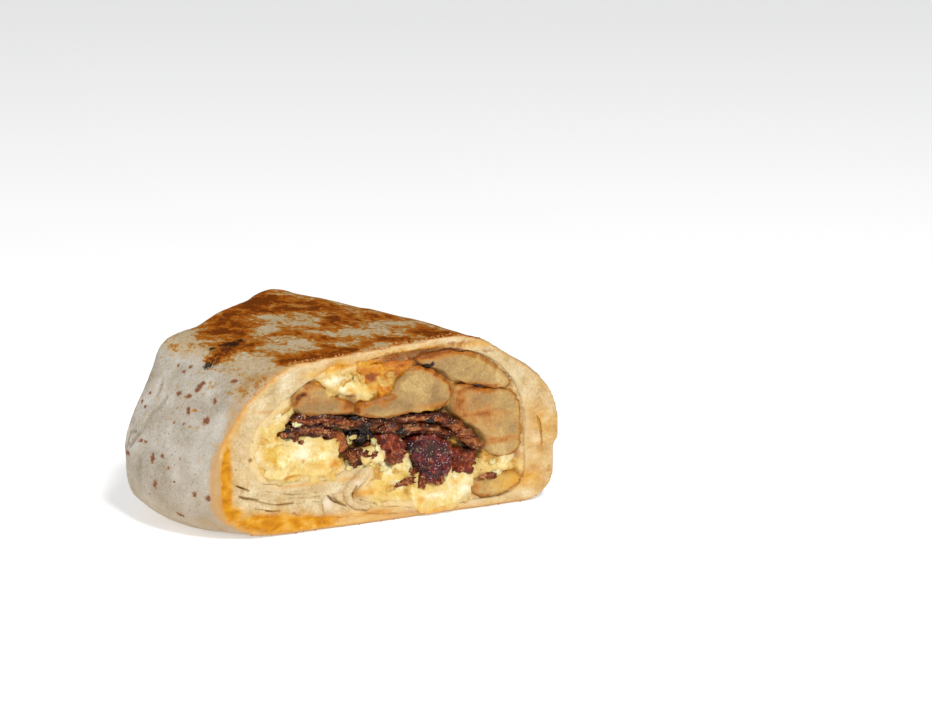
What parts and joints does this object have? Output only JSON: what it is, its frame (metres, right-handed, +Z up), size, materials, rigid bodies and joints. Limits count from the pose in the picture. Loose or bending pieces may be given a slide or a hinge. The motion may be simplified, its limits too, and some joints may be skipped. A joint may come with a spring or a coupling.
{
  "type": "burrito half",
  "caption": "Half of a rolled breakfast burrito cut on the bias: griddled flour tortilla round scrambled egg, potato, bacon and melted cheese, lying flat with the cut showing.",
  "frame": {"origin": "middle of the bottom of the bounding box, on the surface that the half lies on", "axes": "+X along the roll from the closed end to the cut, +Y across to the far side, +Z up"},
  "size_m": [0.0948, 0.0796, 0.0505],
  "materials": {
    "tortilla": "matt floury dough, griddled orange-brown in streaks on top, pale at the sides",
    "egg": "moist soft curds, bright yellow to cream",
    "cheese": "melted, glossy, browned at one edge",
    "potato": "cooked potato, grainy cut face with a thin fried brown edge",
    "bacon": "fried, greasy, dark red-brown with paler fat",
    "burnt_bacon": "charred nearly black"
  },
  "bodies": {
    "root": {"tortilla": "tortilla", "egg_left": "egg", "egg_right": "egg", "egg_upper": "egg", "cheese": "cheese", "potato_1": "potato", "potato_2": "potato", "potato_3": "potato", "potato_4": "potato", "potato_5": "potato", "bacon_1": "bacon", "bacon_2": "bacon", "bacon_3": "bacon", "bacon_4": "bacon", "bacon_5": "bacon", "bacon_6": "bacon", "bacon_7": "bacon", "bacon_8": "burnt_bacon"}
  },
  "joints": []
}
